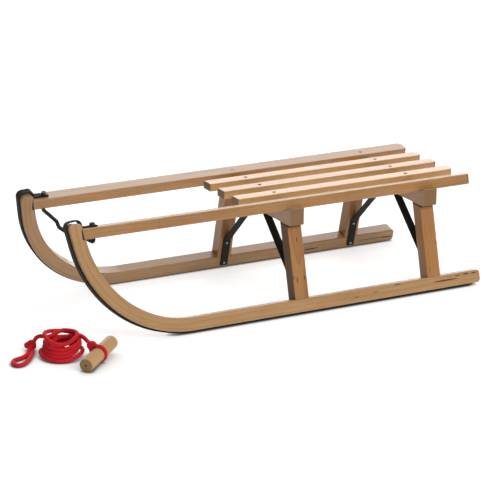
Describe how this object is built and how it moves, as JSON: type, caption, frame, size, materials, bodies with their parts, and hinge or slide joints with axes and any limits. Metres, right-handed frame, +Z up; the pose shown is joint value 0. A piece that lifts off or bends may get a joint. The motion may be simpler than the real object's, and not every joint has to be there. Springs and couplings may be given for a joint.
{
  "type": "wooden sled",
  "caption": "Slatted wooden sled with bentwood runners on black steel shoes, splayed braced legs, a tie rod between the horns and a red tow rope with a dowel handle lying beside it.",
  "frame": {"origin": "on the floor under the middle of the sled's length and width, measured without the loose tow rope", "axes": "+X forward to the horns, +Y to the left, +Z up"},
  "size_m": [1.0417, 0.4737, 0.2423],
  "materials": {
    "beech": "clear satin varnish on beech",
    "black_steel": "black semi-gloss coating on flat and round steel",
    "handle_wood": "plain sanded dowel",
    "red_rope": "red braided cord"
  },
  "bodies": {
    "root": {"brace_front_left": "black_steel", "brace_front_right": "black_steel", "brace_rear_left": "black_steel", "brace_rear_right": "black_steel", "cross_beam_front": "beech", "cross_beam_rear": "beech", "horn_nut_left": "black_steel", "horn_nut_right": "black_steel", "leg_front_left": "beech", "leg_front_right": "beech", "leg_rear_left": "beech", "leg_rear_right": "beech", "runner_left": "beech", "runner_right": "beech", "seat_slat_centre": "beech", "seat_slat_left": "beech", "seat_slat_right": "beech", "shoe_left": "black_steel", "shoe_right": "black_steel", "side_rail_left": "beech", "side_rail_right": "beech", "tie_rod": "black_steel", "tow_handle": "handle_wood", "tow_rope_coil": "red_rope", "tow_rope_end_knot": "red_rope", "tow_rope_end_lead": "red_rope", "tow_rope_handle_knot": "red_rope", "tow_rope_handle_lead": "red_rope", "tow_rope_hitch": "red_rope", "tow_rope_loop": "red_rope"}
  },
  "joints": []
}
